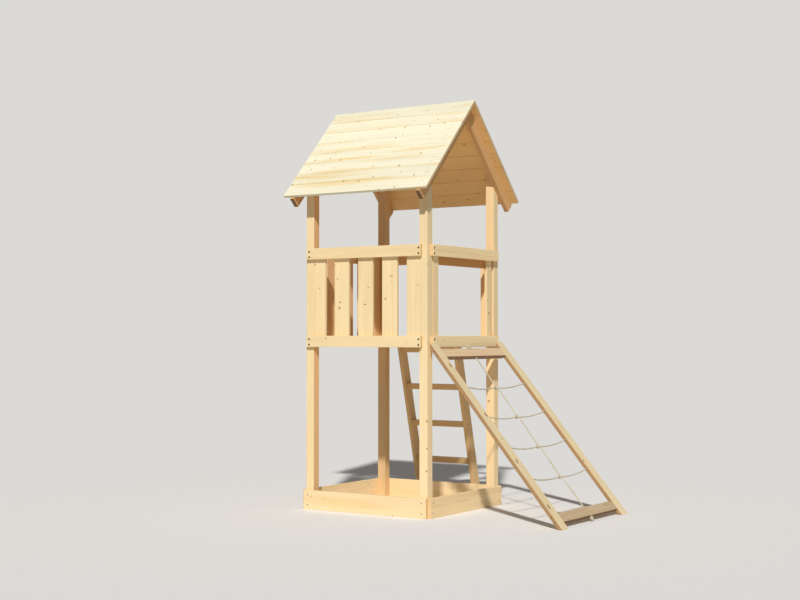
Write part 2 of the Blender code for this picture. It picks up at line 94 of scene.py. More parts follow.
def rings_and_fibres(tree, solid, swirl):
    """Growth rings round a pith beside the board, bent by knots, and fibres along the grain."""
    slow = add(tree, "ShaderNodeVectorMath", {0: solid, 1: WANDER}, operation="MULTIPLY")
    wander = add(tree, "ShaderNodeTexNoise", {"Vector": slow.outputs[0], "Scale": 1, "Detail": 2})
    bent = add(
        tree, "ShaderNodeVectorMath",
        {0: wander.outputs["Color"], 1: (0, 0.036, 0.036), 2: solid}, operation="MULTIPLY_ADD",
    )
    radial = add(
        tree, "ShaderNodeVectorMath", {0: bent.outputs[0], 1: (0, 1, 1)}, operation="MULTIPLY",
    )
    radius = add(tree, "ShaderNodeVectorMath", {0: radial.outputs[0]}, operation="LENGTH")
    pushed = add(
        tree, "ShaderNodeMath",
        {0: swirl, 1: 0.009, 2: radius.outputs["Value"]}, operation="MULTIPLY_ADD",
    )
    count = add(tree, "ShaderNodeMath", {0: pushed.outputs[0], 1: RING_SPACING}, operation="DIVIDE")
    year = add(tree, "ShaderNodeMath", {0: count.outputs[0]}, operation="FRACT")
    latewood = add(tree, "ShaderNodeValToRGB", {"Fac": year.outputs[0]})
    band = latewood.color_ramp
    band.elements[0].color = (0, 0, 0, 1)
    band.elements[1].position = 0.98
    band.elements[1].color = (0.1, 0.1, 0.1, 1)
    for position, amount in ((0.5, 0.14), (0.86, 1.0)):
        stop = band.elements.new(position)
        stop.color = (amount, amount, amount, 1)
    threads = add(tree, "ShaderNodeVectorMath", {0: solid, 1: FIBRES}, operation="MULTIPLY")
    fibre = add(tree, "ShaderNodeTexNoise", {"Vector": threads.outputs[0], "Scale": 1, "Detail": 2})
    return latewood.outputs["Color"], fibre.outputs["Fac"], wander.outputs["Fac"]


def knots(tree, solid, share, dimensions):
    """Where branches come through, 5 to 11 mm in radius, and how far rings swing round them."""
    cells = add(
        tree, "ShaderNodeTexVoronoi",
        {"Vector": solid, "Scale": 1 / KNOT_SPACING, "Randomness": 0.7},
        voronoi_dimensions=dimensions,
    )
    picked = add(tree, "ShaderNodeSeparateColor", {"Color": cells.outputs["Color"]})
    present = add(
        tree, "ShaderNodeMath", {0: picked.outputs["Red"], 1: 1 - share}, operation="GREATER_THAN",
    )
    size = add(
        tree, "ShaderNodeMath",
        {0: picked.outputs["Green"], 1: 0.055, 2: 0.04}, operation="MULTIPLY_ADD",
    )
    core = add(tree, "ShaderNodeMath", {0: size.outputs[0], 1: 0.45}, operation="MULTIPLY")
    heart = add(
        tree, "ShaderNodeMapRange",
        {"Value": cells.outputs["Distance"],
         "From Min": size.outputs[0], "From Max": core.outputs[0]},
        interpolation_type="SMOOTHSTEP",
    )
    depth = add(
        tree, "ShaderNodeMath",
        {0: picked.outputs["Blue"], 1: 0.4, 2: 0.6}, operation="MULTIPLY_ADD",
    )
    shown = add(
        tree, "ShaderNodeMath", {0: present.outputs[0], 1: depth.outputs[0]}, operation="MULTIPLY",
    )
    halo = add(
        tree, "ShaderNodeMapRange",
        {"Value": cells.outputs["Distance"], "From Min": 0.28, "From Max": 0.03},
        interpolation_type="SMOOTHSTEP",
    )
    spot = add(
        tree, "ShaderNodeMath",
        {0: heart.outputs["Result"], 1: shown.outputs[0]}, operation="MULTIPLY",
    )
    swirl = add(
        tree, "ShaderNodeMath",
        {0: halo.outputs["Result"], 1: present.outputs[0]}, operation="MULTIPLY",
    )
    return spot.outputs[0], swirl.outputs[0]


def facing(tree, direction, both_ways=True):
    """1 on faces that look along the direction, or also against it, and 0 on the others."""
    surface = add(tree, "ShaderNodeNewGeometry")
    dot = add(
        tree, "ShaderNodeVectorMath",
        {0: surface.outputs["True Normal"], 1: Vector(direction).normalized()},
        operation="DOT_PRODUCT",
    )
    seen = dot.outputs["Value"]
    if both_ways:
        seen = add(tree, "ShaderNodeMath", {0: seen}, operation="ABSOLUTE").outputs[0]
    edge = add(tree, "ShaderNodeMapRange", {"Value": seen, "From Min": 0.5, "From Max": 0.7})
    return edge.outputs["Result"]


def with_marks(tree, own, spot, marks, square):
    """Add knots at known places: station along the board, place across it, length and width.

    A knot goes right through a board, but on a square post it stays near the front face.
    """
    for station, side, length, width in marks:
        centre = (station, side, -POST_SIDE / 2 if square else 0)
        reach = (2 / length, 2 / width, 2 / width if square else 0)
        away = add(tree, "ShaderNodeVectorMath", {0: own, 1: centre}, operation="SUBTRACT")
        oval = add(
            tree, "ShaderNodeVectorMath", {0: away.outputs[0], 1: reach}, operation="MULTIPLY",
        )
        far = add(tree, "ShaderNodeVectorMath", {0: oval.outputs[0]}, operation="LENGTH")
        drawn = add(
            tree, "ShaderNodeMapRange",
            {"Value": far.outputs["Value"], "From Min": 1.2, "From Max": 0.6},
            interpolation_type="SMOOTHSTEP",
        )
        drawn = add(
            tree, "ShaderNodeMath", {0: drawn.outputs["Result"], 1: 0.8}, operation="MULTIPLY",
        )
        spot = add(
            tree, "ShaderNodeMath", {0: spot, 1: drawn.outputs[0]}, operation="MAXIMUM",
        ).outputs[0]
    return spot


def wood_colour(tree, colours, solid, heart_share, rings, slow, sides, spot):
    """Lay the colours over each other: rings, golden heartwood, the board's sides, and knots."""
    ring_strength = add(
        tree, "ShaderNodeMapRange",
        {"Value": slow, "From Min": 0.3, "From Max": 0.7, "To Min": 0.2, "To Max": 0.65},
    )
    ring_amount = add(
        tree, "ShaderNodeMath",
        {0: rings, 1: ring_strength.outputs["Result"]}, operation="MULTIPLY",
    )
    streak_place = add(
        tree, "ShaderNodeVectorMath", {0: solid, 1: HEART_STREAKS}, operation="MULTIPLY",
    )
    streaks = add(
        tree, "ShaderNodeTexNoise", {"Vector": streak_place.outputs[0], "Scale": 1, "Detail": 3},
    )
    heartwood = add(
        tree, "ShaderNodeMapRange",
        {"Value": streaks.outputs["Fac"],
         "From Min": 0.48, "From Max": 0.68, "To Max": heart_share},
        interpolation_type="SMOOTHSTEP",
    )
    knot_heart = add(
        tree, "ShaderNodeMapRange",
        {"Value": spot, "From Min": 0.65, "From Max": 0.95, "To Max": 0.4},
    )
    layers = [
        (ring_amount.outputs[0], "late"), (heartwood.outputs["Result"], "heart"), *sides,
        (spot, "knot"), (knot_heart.outputs["Result"], "sawn"),
    ]
    colour = linear(colours["early"])
    for amount, layer in layers:
        colour = add(
            tree, "ShaderNodeMix",
            {0: amount, 6: colour, 7: linear(colours[layer])}, data_type="RGBA",
        ).outputs[2]
    return colour


def wood_light(tree, solid, fibre, board_light):
    """How light the wood is, from clouds of tone, from its fibres and from the board as a whole."""
    patch_place = add(tree, "ShaderNodeVectorMath", {0: solid, 1: PATCHES}, operation="MULTIPLY")
    patches = add(
        tree, "ShaderNodeTexNoise", {"Vector": patch_place.outputs[0], "Scale": 1, "Detail": 1},
    )
    patch_light = add(
        tree, "ShaderNodeMapRange",
        {"Value": patches.outputs["Fac"], "From Min": 0.25, "From Max": 0.75,
         "To Min": 0.95, "To Max": 1.02},
    )
    fibre_light = add(
        tree, "ShaderNodeMapRange",
        {"Value": fibre, "From Min": 0.3, "From Max": 0.7, "To Min": 0.965, "To Max": 1.01},
    )
    light = add(
        tree, "ShaderNodeMath",
        {0: patch_light.outputs["Result"], 1: fibre_light.outputs["Result"]}, operation="MULTIPLY",
    )
    return add(tree, "ShaderNodeMath", {0: light.outputs[0], 1: board_light}, operation="MULTIPLY")


def planed_surface(tree, shader, rings, fibre):
    """A dull sheen that changes with the fibres; late rings and fibres stand up a little."""
    roughness = add(
        tree, "ShaderNodeMapRange",
        {"Value": fibre, "From Min": 0.3, "From Max": 0.7, "To Min": 0.56, "To Max": 0.7},
    )
    tree.links.new(roughness.outputs["Result"], shader.inputs["Roughness"])
    shader.inputs["IOR"].default_value = 1.5
    shader.inputs["Specular IOR Level"].default_value = 0.3
    relief = add(tree, "ShaderNodeMath", {0: rings, 1: 0.5, 2: fibre}, operation="MULTIPLY_ADD")
    bump = add(
        tree, "ShaderNodeBump", {"Height": relief.outputs[0], "Strength": 0.25, "Distance": 0.0006},
    )
    tree.links.new(bump.outputs["Normal"], shader.inputs["Normal"])


def planed_spruce(
    name, middle, along, across, seed, colours=SPRUCE, tone=1.0, knot_share=0.16, heart_share=0.35,
    square=False, board_width=None, painted_shade_side=None, browner_edge_side=None, marks=(),
):
    """Planed spruce: pale, finely ringed, with golden streaks, small knots and a dull sheen.

    The pattern lies in the board's own axes and starts from its seed, so no two boards look alike.
    """
    chance = random.Random(seed)
    made = bpy.data.materials.new(name)
    made.use_nodes = True
    tree = made.node_tree
    shader = tree.nodes["Principled BSDF"]
    place = add(tree, "ShaderNodeTexCoord")
    board = add(
        tree, "ShaderNodeMapping",
        {"Vector": place.outputs["Object"], "Location": middle, "Rotation": turn_of(along, across)},
        vector_type="TEXTURE",
    )
    own = board.outputs[0]
    pith_side = chance.choice((-1, 1))
    pith = (
        chance.uniform(0, 30), chance.uniform(-0.03, 0.03), pith_side * chance.uniform(0.035, 0.08),
    )
    board_light = chance.uniform(0.965, 1.02) * tone
    if board_width:
        own, board_light, heart_share = own_boards(tree, own, board_width, seed)
    solid = add(tree, "ShaderNodeVectorMath", {0: own, 1: pith}, operation="ADD").outputs[0]

    spot, swirl = knots(tree, solid, knot_share, "3D" if square else "2D")
    if not square:
        through = Vector(along).cross(Vector(across))
        spot = add(
            tree, "ShaderNodeMath", {0: spot, 1: facing(tree, through)}, operation="MULTIPLY",
        ).outputs[0]
    spot = with_marks(tree, board.outputs[0], spot, marks, square)
    rings, fibre, slow = rings_and_fibres(tree, solid, swirl)

    sides = []
    # Painted shade: faces turned to the given side take the warmer inner colour.
    if painted_shade_side:
        turned_in = facing(tree, painted_shade_side, both_ways=False)
        painted_shade_amount = add(tree, "ShaderNodeMath", {0: turned_in, 1: 0.85}, operation="MULTIPLY")
        sides.append((painted_shade_amount.outputs[0], "inner"))
    # Faces along the given way take the browner edge colour; on the ramp planks it is painted
    # shade.
    if browner_edge_side:
        sides.append((facing(tree, browner_edge_side), "browner_edge"))
    ends = add(tree, "ShaderNodeMath", {0: facing(tree, along), 1: 0.8}, operation="MULTIPLY")
    sides.append((ends.outputs[0], "sawn"))

    colour = wood_colour(tree, colours, solid, heart_share, rings, slow, sides, spot)
    light = wood_light(tree, solid, fibre, board_light)
    shaded = add(
        tree, "ShaderNodeVectorMath", {0: colour, "Scale": light.outputs[0]}, operation="SCALE",
    )
    tree.links.new(shaded.outputs[0], shader.inputs["Base Color"])
    planed_surface(tree, shader, rings, fibre)
    return made


def middle_of(node):
    """The middle of a CAD node's box."""
    low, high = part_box(node)
    return (low + high) / 2


def dress(node, material):
    """Give a CAD node its finish."""
    nodes[node].material_slots[0].material = material


def upright_knots(node, places):
    """Knots of an upright piece: height above the ground, place across it, length and width."""
    base = middle_of(node).z
    return [(height - base, side, length, width) for height, side, length, width in places]


POST_KNOTS = {
    "front_right": (
        (0.687, 0.030, 0.018, 0.018), (0.494, 0.030, 0.014, 0.016), (0.334, 0.026, 0.016, 0.016),
    ),
    "rear_right": ((0.792, -0.011, 0.018, 0.022),),
}
POST_PAINTED_SHADE_COLOURS = (
    ("front_left", (1, 1, 0), "F0BE84"),
    ("front_right", (-1, 1, 0), "F0BE84"),
    ("rear_left", (1, -1, 0), "D9B07C"),
    ("rear_right", (-1, -1, 0), "FBDAA6"),
)
for seed, (corner, inward, inner) in enumerate(POST_PAINTED_SHADE_COLOURS, 11):
    post = f"post_{corner}"
    dress(post, planed_spruce(
        f"planed spruce {post}", middle_of(post), UPRIGHT, ACROSS_X, seed,
        {**SPRUCE, "inner": inner}, knot_share=0.25, square=True, painted_shade_side=inward,
        marks=upright_knots(post, POST_KNOTS.get(corner, ())),
    ))

# Sandbox
# Four spruce boards stand on edge round the feet of the posts and hold the play sand.
# They are screwed to the outer faces of the posts.
# The right one is painted paler: painted light for the side that gets less light.
SANDBOX_SPRUCE = {**SPRUCE, "early": "F5DAAB", "late": "E4C08A"}
INWARD = {"front": (0, 1, 0), "rear": (0, -1, 0), "left": (1, 0, 0), "right": (-1, 0, 0)}
for seed, side in enumerate(INWARD, 21):
    board = f"sandbox_board_{side}"
    run = ACROSS_X if side in ("front", "rear") else ACROSS_Y
    dress(board, planed_spruce(
        f"planed spruce {board}", middle_of(board), run, UPRIGHT, seed, SANDBOX_SPRUCE,
        tone=1.04 if side == "right" else 1.0, heart_share=0.6,
    ))

# Rails
# Planed spruce rails lie on the outer faces of the posts, two on each side of the tower.
# Their inward faces carry painted shade, and the right rails are painted paler as painted light.
# A header rail crosses the ramp's entry inside the slats; its browner colour is painted shade.
for level in ("lower", "upper"):
    for seed, side in enumerate(INWARD, 31 if level == "lower" else 35):
        rail = f"{level}_rail_{side}"
        run = ACROSS_X if side in ("front", "rear") else ACROSS_Y
        dress(rail, planed_spruce(
            f"planed spruce {rail}", middle_of(rail), run, UPRIGHT, seed,
            tone=1.07 if side == "right" else 1.0, painted_shade_side=INWARD[side],
        ))
HEADER_PAINTED_SHADE_SPRUCE = {**SPRUCE, "early": "DCA35C", "late": "BC8346", "heart": "CC904E"}
dress("header_rail_right", planed_spruce(
    "planed spruce header rail", middle_of("header_rail_right"), ACROSS_Y, UPRIGHT, 40,
    HEADER_PAINTED_SHADE_SPRUCE,
))

# Railing slats
# Planed spruce slats stand behind the rails: five at the front, five at the left, and a narrow one
# on each side of both entries. Each is cut from its own board, so each has its own tone and knots.
slats = sorted(node for node in nodes if node.startswith("slat_"))
SLAT_KNOTS = {
    "slat_front_1": ((1.646, 0.0, 0.012, 0.014),),
    "slat_front_2": (
        (1.711, -0.037, 0.016, 0.012), (1.539, -0.012, 0.016, 0.018), (1.498, -0.018, 0.020, 0.022),
    ),
    "slat_front_3": ((1.521, -0.003, 0.010, 0.030),),
    "slat_front_4": ((1.724, 0.013, 0.010, 0.034),),
    "slat_right_rear": ((1.561, -0.026, 0.016, 0.014), (1.463, -0.005, 0.022, 0.020)),
}
# Painted shade on the slats' inward faces, lighter on the rear slats.
SLAT_PAINTED_SHADE_COLOURS = {"front": "F3C48C", "left": "F3C48C", "rear": "FBDAA6", "right": "F3C48C"}
for seed, slat in enumerate(slats, 51):
    side = slat.split("_")[1]
    wide_way = ACROSS_X if side in ("front", "rear") else ACROSS_Y
    dress(slat, planed_spruce(
        f"planed spruce {slat}", middle_of(slat), UPRIGHT, wide_way, seed,
        {**SPRUCE, "inner": SLAT_PAINTED_SHADE_COLOURS[side]}, painted_shade_side=INWARD[side],
        marks=upright_knots(slat, SLAT_KNOTS.get(slat, ())),
    ))

# Deck
# Spruce boards lie across two bearers between the posts, with a small gap between boards for rain.
# The outer boards are notched round the posts; boards and bearers carry painted shade underneath.
for seed, board in enumerate(sorted(node for node in nodes if node.startswith("deck_")), 71):
    run, width = (ACROSS_Y, UPRIGHT) if "bearer" in board else (ACROSS_X, ACROSS_Y)
    dress(board, planed_spruce(
        f"planed spruce {board}", middle_of(board), run, width, seed, tone=0.96,
        painted_shade_side=(0, 0, -1),
    ))

# Roof
# Two slopes of tongue-and-groove spruce boards, with a V groove at each seam, on four rafters.
# The boards are the palest wood of the tower, with golden streaks. The warm brown underneath, the
# darker line at each seam and most of the dark brown of the rafters' cut ends are painted shade.
ROOF_BOARDS_PER_SLOPE = 8
EAVE_HEIGHT = 2.333
# Painted shade: a strip this wide at each seam, where the V groove lies, is made darker by this
# share.
SEAM_WIDTH = 0.005
SEAM_SHADE = 0.09
ROOF_SPRUCE = {
    "early": "FCF5D8", "late": "EFDDAD", "heart": "F3CF86", "knot": "8A643C", "sawn": "C9A473",
    # inner: painted shade on the boards' undersides
    "inner": "FFCE80",
}
# Rafters: browner wood, partly painted shade; the dark brown of their cut ends is mostly painted
# shade.
RAFTER_SPRUCE_WITH_PAINTED_SHADE = {
    "early": "DFB27A", "late": "C48E54", "heart": "D19A5E", "knot": "7F5430", "sawn": "62482C",
}


def own_boards(tree, own, board_width, seed):
    """Split one solid into its boards: each has its own part of the pattern, tone and heart."""
    split = add(tree, "ShaderNodeSeparateXYZ", {0: own})
    order = add(tree, "ShaderNodeMath", {0: split.outputs["Y"], 1: board_width}, operation="DIVIDE")
    number = add(tree, "ShaderNodeMath", {0: order.outputs[0]}, operation="FLOOR")
    start = add(
        tree, "ShaderNodeMath", {0: number.outputs[0], 1: board_width}, operation="MULTIPLY",
    )
    inside = add(
        tree, "ShaderNodeMath", {0: split.outputs["Y"], 1: start.outputs[0]}, operation="SUBTRACT",
    )
    seeded = add(tree, "ShaderNodeMath", {0: number.outputs[0], 1: float(seed)}, operation="ADD")
    dice = add(tree, "ShaderNodeTexWhiteNoise", {"W": seeded.outputs[0]}, noise_dimensions="1D")
    within = add(
        tree, "ShaderNodeCombineXYZ",
        {"X": split.outputs["X"], "Y": inside.outputs[0], "Z": split.outputs["Z"]},
    )
    moved = add(
        tree, "ShaderNodeVectorMath",
        {0: dice.outputs["Color"], 1: (37, 0.07, 0.04), 2: within.outputs[0]},
        operation="MULTIPLY_ADD",
    )
    tone = add(
        tree, "ShaderNodeMapRange",
        {"Value": dice.outputs["Value"], "To Min": 0.92, "To Max": 1.03},
    )
    shares = add(tree, "ShaderNodeSeparateColor", {"Color": dice.outputs["Color"]})
    golden = add(
        tree, "ShaderNodeMapRange",
        {"Value": shares.outputs["Green"], "From Min": 0.25, "To Max": 1.0},
    )
    # Painted shade: a narrow strip at each seam is made darker.
    from_middle = add(
        tree, "ShaderNodeMath", {0: inside.outputs[0], 1: board_width / 2}, operation="SUBTRACT",
    )
    reach = add(tree, "ShaderNodeMath", {0: from_middle.outputs[0]}, operation="ABSOLUTE")
    seam = add(
        tree, "ShaderNodeMath", {0: reach.outputs[0], 1: (board_width - SEAM_WIDTH) / 2},
        operation="GREATER_THAN",
    )
    shade = add(
        tree, "ShaderNodeMath",
        {0: seam.outputs[0], 1: -SEAM_SHADE, 2: 1.0}, operation="MULTIPLY_ADD",
    )
    light = add(
        tree, "ShaderNodeMath",
        {0: tone.outputs["Result"], 1: shade.outputs[0]}, operation="MULTIPLY",
    )
    return moved.outputs[0], light.outputs[0], golden.outputs["Result"]


eave_y = (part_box("roof_panel_front")[0].y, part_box("roof_panel_rear")[1].y)
ridge = middle_of("roof_panel_front")
ridge.y = (eave_y[0] + eave_y[1]) / 2
ridge.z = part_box("roof_panel_front")[1].z
slope_run = (eave_y[1] - eave_y[0]) / 2
slope_fall = ridge.z - EAVE_HEIGHT
roof_board_width = math.hypot(slope_run, slope_fall) / ROOF_BOARDS_PER_SLOPE
slopes = {
    end: (Vector((0, way * slope_run, -slope_fall)).normalized(),
          Vector((0, way * slope_fall, slope_run)).normalized())
    for end, way in (("front", -1), ("rear", 1))
}
for seed, (end, (down, upward)) in enumerate(slopes.items(), 91):
    dress(f"roof_panel_{end}", planed_spruce(
        f"tongue-and-groove spruce {end}", ridge, ACROSS_X, down, seed, ROOF_SPRUCE, knot_share=0.5,
        board_width=roof_board_width, painted_shade_side=-upward,
    ))
    for order, side in enumerate(("left", "right")):
        rafter = f"rafter_{end}_{side}"
        dress(rafter, planed_spruce(
            f"planed spruce {rafter}", middle_of(rafter), down, upward, seed + 10 * order,
            RAFTER_SPRUCE_WITH_PAINTED_SHADE,
        ))

# Ramp
# Two spruce beams, laid flat, lean from the lower right rail to the ground; two planks join them.
# The wide faces are planed and pale, the narrow edges browner; on the planks that brown is painted
# shade.
RAMP_ANGLE = math.radians(50.16)
BEAM_SPRUCE = {
    "early": "EDD9AE", "late": "D6B782", "heart": "E3C590", "knot": "6E4B2E", "sawn": "B99567",
    "browner_edge": "B08A60",
}
PLANK_SPRUCE = {
    "early": "DCC29C", "late": "C29B6E", "heart": "CFA67A", "knot": "6E4B2E", "sawn": "9A7450",
    "browner_edge": "8C6646",
}
BEAM_KNOTS = (
    (0.21, 0.012, 0.040, 0.022), (0.65, 0.020, 0.042, 0.022), (1.05, -0.008, 0.040, 0.022),
    (1.43, -0.012, 0.044, 0.024),
)
down_ramp = Vector((math.cos(RAMP_ANGLE), 0, -math.sin(RAMP_ANGLE)))
off_ramp = Vector((math.sin(RAMP_ANGLE), 0, math.cos(RAMP_ANGLE)))
beam_low, beam_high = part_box("ramp_beam_front")
for seed, (end, marks) in enumerate((("front", BEAM_KNOTS), ("rear", ())), 121):
    beam = f"ramp_beam_{end}"
    head = Vector((beam_low.x, middle_of(beam).y, beam_high.z))
    dress(beam, planed_spruce(
        f"planed spruce {beam}", head, down_ramp, ACROSS_Y, seed, BEAM_SPRUCE, knot_share=0.05,
        browner_edge_side=ACROSS_Y, marks=marks,
    ))
for seed, place in enumerate(("top", "bottom"), 125):
    plank = f"ramp_plank_{place}"
    dress(plank, planed_spruce(
        f"sawn spruce {plank}", middle_of(plank), ACROSS_Y, down_ramp, seed, PLANK_SPRUCE,
        browner_edge_side=down_ramp, tone=1.1 if place == "top" else 0.82,
    ))

# Rope net
# A rope runs down the ramp's middle through both planks, and four cross ropes end in the beams.
# Each is laid from three strands of beige fibre. The middle one winds twice round each cross rope.
ROPE_RADIUS = 0.005
LAY_LENGTH = 0.033
STRAND_SIDES = 8
STRAND_OFFSET = 0.52  # of the rope's radius, from its middle to a strand's
STRAND_RADIUS = 0.49  # of the rope's radius
ROPE_POINT_SPACING = 0.003
BEAM_THICKNESS = 0.028
PLANK_WIDTH = 0.073
TOP_PLANK_STATION = 0.058
BOTTOM_PLANK_STATION = 1.490
ROW_STATIONS = (0.390, 0.658, 0.926, 1.194)
SOCKET_DEPTH = 0.0297
CENTRE_DROP = 0.022
BAY_SAG = 0.014
WRAP_RADIUS = 0.0094
WRAP_TURNS = 2
POINTS_PER_TURN = 22
STOPPER_TURNS = 3
STOPPER_GAP = 0.002
rope_start = Vector((beam_low.x, (beam_low.y + beam_high.y) / 2, beam_high.z))
net_half_width = (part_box("ramp_beam_rear")[0].y - beam_high.y) / 2
net_middle = (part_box("ramp_beam_rear")[0].y + beam_high.y) / 2


def net_point(station, across, drop=0.0):
    """A point at mid-thickness of the ramp, down its slope and across from its middle."""
    along = Vector((rope_start.x, net_middle, rope_start.z)) + down_ramp * station
    return along - off_ramp * BEAM_THICKNESS / 2 + Vector((0, across, -drop))


def cross_rope_drop(across):
    """How far a cross rope hangs: it sags to the middle knot, and a little more in each half."""
    share = abs(across) / net_half_width
    return CENTRE_DROP * (1 - share) + BAY_SAG * 4 * share * (1 - share)


def cross_rope(station):
    """A cross rope's route from the end of its bore in one beam to that in the other."""
    steps = round(2 * net_half_width / ROPE_POINT_SPACING)
    route = [net_point(station, -net_half_width - SOCKET_DEPTH)]
    for step in range(steps + 1):
        across = net_half_width * (2 * step / steps - 1)
        route.append(net_point(station, across, cross_rope_drop(across)))
    route.append(net_point(station, net_half_width + SOCKET_DEPTH))
    return route


def turns_round(middle, run, start, turns, radius, advance):
    """A coil about a line: its route for a number of turns, moving on by one advance in each."""
    side = run.cross(start)
    steps = round(turns * POINTS_PER_TURN)
    route = []
    for step in range(steps + 1):
        angle = 2 * math.pi * turns * step / steps
        out = start * math.cos(angle) + side * math.sin(angle)
        route.append(middle + run * advance * turns * (step / steps - 0.5) + out * radius)
    return route


def stopper(at, away):
    """A barrel knot: the rope passes on, turns back and winds round itself, with a short tail."""
    length = 2 * ROPE_RADIUS * STOPPER_TURNS
    side = Vector(ACROSS_Y)
    coil_middle = at + away * length / 2
    coil = turns_round(coil_middle, -away, side, STOPPER_TURNS, WRAP_RADIUS, 2 * ROPE_RADIUS)
    bend = [at + away * (length + ROPE_RADIUS * 0.8) + side * ROPE_RADIUS * 0.9]
    tail = [coil[-1] + side * 0.004 - away * 0.001, coil[-1] + side * 0.012 + away * 0.002]
    return [at, at + away * length * 0.5, at + away * length, *bend, *coil, *tail]


def middle_rope():
    """The middle rope's route: its top stopper, turns round each cross rope, bottom stopper."""
    wrap_gap = 2 * ROPE_RADIUS * 0.98
    top_stop = net_point(TOP_PLANK_STATION, 0)
    bottom_stop = net_point(BOTTOM_PLANK_STATION + PLANK_WIDTH, 0)
    route = stopper(top_stop - down_ramp * STOPPER_GAP, -down_ramp)[::-1]
    for station in ROW_STATIONS:
        crossing = net_point(station, 0, CENTRE_DROP)
        route += turns_round(
            crossing, Vector(ACROSS_Y), off_ramp, WRAP_TURNS, WRAP_RADIUS, wrap_gap,
        )
    return route + stopper(bottom_stop + down_ramp * STOPPER_GAP, down_ramp)


def smooth(route, spacing):
    """The route with its corners eased and a point about every spacing."""
    for _ in range(2):
        cut = [route[0]]
        for first, second in zip(route, route[1:]):
            cut += [first.lerp(second, 0.25), first.lerp(second, 0.75)]
        route = [*cut, route[-1]]
    filled = [route[0]]
    for point in route[1:]:
        steps = max(1, math.floor((point - filled[-1]).length / spacing))
        start = filled[-1].copy()
        if (point - start).length >= spacing * 0.4:
            filled += [start.lerp(point, (step + 1) / steps) for step in range(steps)]
    return filled


def laid_rope():
    """Geometry Nodes: three strands that wind round each line of the mesh."""
    tree = bpy.data.node_groups.new("laid rope", "GeometryNodeTree")
    face = tree.interface
    face.new_socket("Geometry", in_out="OUTPUT", socket_type="NodeSocketGeometry")
    face.new_socket("Route", in_out="INPUT", socket_type="NodeSocketGeometry")
    for name in ("Rope Radius", "Lay Length"):
        face.new_socket(name, in_out="INPUT", socket_type="NodeSocketFloat")
    face.new_socket("Strands", in_out="INPUT", socket_type="NodeSocketInt")
    face.new_socket("Finish", in_out="INPUT", socket_type="NodeSocketMaterial")
    given = add(tree, "NodeGroupInput").outputs
    line = add(tree, "GeometryNodeMeshToCurve", {"Mesh": given["Route"]})
    copies = add(
        tree, "GeometryNodeDuplicateElements", {0: line.outputs[0], "Amount": given["Strands"]},
        domain="SPLINE",
    )
    along = add(tree, "GeometryNodeSplineParameter").outputs["Length"]
    turns = add(tree, "ShaderNodeMath", {0: along, 1: given["Lay Length"]}, operation="DIVIDE")
    share = add(
        tree, "ShaderNodeMath", {0: copies.outputs["Duplicate Index"], 1: given["Strands"]},
        operation="DIVIDE",
    )
    total = add(tree, "ShaderNodeMath", {0: turns.outputs[0], 1: share.outputs[0]}, operation="ADD")
    angle = add(tree, "ShaderNodeMath", {0: total.outputs[0], 1: math.tau}, operation="MULTIPLY")
    tangent = add(tree, "GeometryNodeInputTangent")
    normal = add(tree, "GeometryNodeInputNormal")
    outward = add(
        tree, "ShaderNodeVectorRotate",
        {"Vector": normal.outputs[0], "Axis": tangent.outputs[0], "Angle": angle.outputs[0]},
        rotation_type="AXIS_ANGLE",
    )
    strand_offset = add(
        tree, "ShaderNodeMath", {0: given["Rope Radius"], 1: STRAND_OFFSET}, operation="MULTIPLY",
    )
    shift = add(
        tree, "ShaderNodeVectorMath", {0: outward.outputs[0], "Scale": strand_offset.outputs[0]},
        operation="SCALE",
    )
    wound = add(
        tree, "GeometryNodeSetPosition",
        {"Geometry": copies.outputs["Geometry"], "Offset": shift.outputs[0]},
    )
    strand_radius = add(
        tree, "ShaderNodeMath", {0: given["Rope Radius"], 1: STRAND_RADIUS}, operation="MULTIPLY",
    )
    ring = add(
        tree, "GeometryNodeCurvePrimitiveCircle",
        {"Resolution": STRAND_SIDES, "Radius": strand_radius.outputs[0]},
    )
    tube = add(
        tree, "GeometryNodeCurveToMesh",
        {"Curve": wound.outputs[0], "Profile Curve": ring.outputs["Curve"], "Fill Caps": True},
    )
    soft = add(tree, "GeometryNodeSetShadeSmooth", {0: tube.outputs[0]})
    real = add(tree, "GeometryNodeRealizeInstances", {0: soft.outputs[0]})
    finished = add(
        tree, "GeometryNodeSetMaterial", {"Geometry": real.outputs[0], "Material": given["Finish"]},
    )
    add(tree, "NodeGroupOutput", {"Geometry": finished.outputs[0]})
    return tree


def points_object(name, places, lines=()):
    """An object of bare points, or of points joined by lines, for a Geometry Nodes tree."""
    mesh = bpy.data.meshes.new(name)
    mesh.from_pydata([tuple(place) for place in places], lines, [])
    made = bpy.data.objects.new(name, mesh)
    bpy.context.scene.collection.objects.link(made)
    return made


def grown(source, tree, inputs, name):
    """Run a Geometry Nodes tree on an object and keep the result as a plain mesh."""
    modifier = source.modifiers.new(tree.name, "NODES")
    modifier.node_group = tree
    sockets = {
        item.name: item.identifier for item in tree.interface.items_tree if item.in_out == "INPUT"
    }
    for socket, value in inputs.items():
        modifier[sockets[socket]] = value
    source.update_tag()
    bpy.context.view_layer.update()
    shown = source.evaluated_get(bpy.context.evaluated_depsgraph_get())
    mesh = bpy.data.meshes.new_from_object(shown)
    mesh.name = name
    source.modifiers.remove(modifier)
    made = bpy.data.objects.new(name, mesh)
    bpy.context.scene.collection.objects.link(made)
    bpy.data.objects.remove(source, do_unlink=True)
    return made


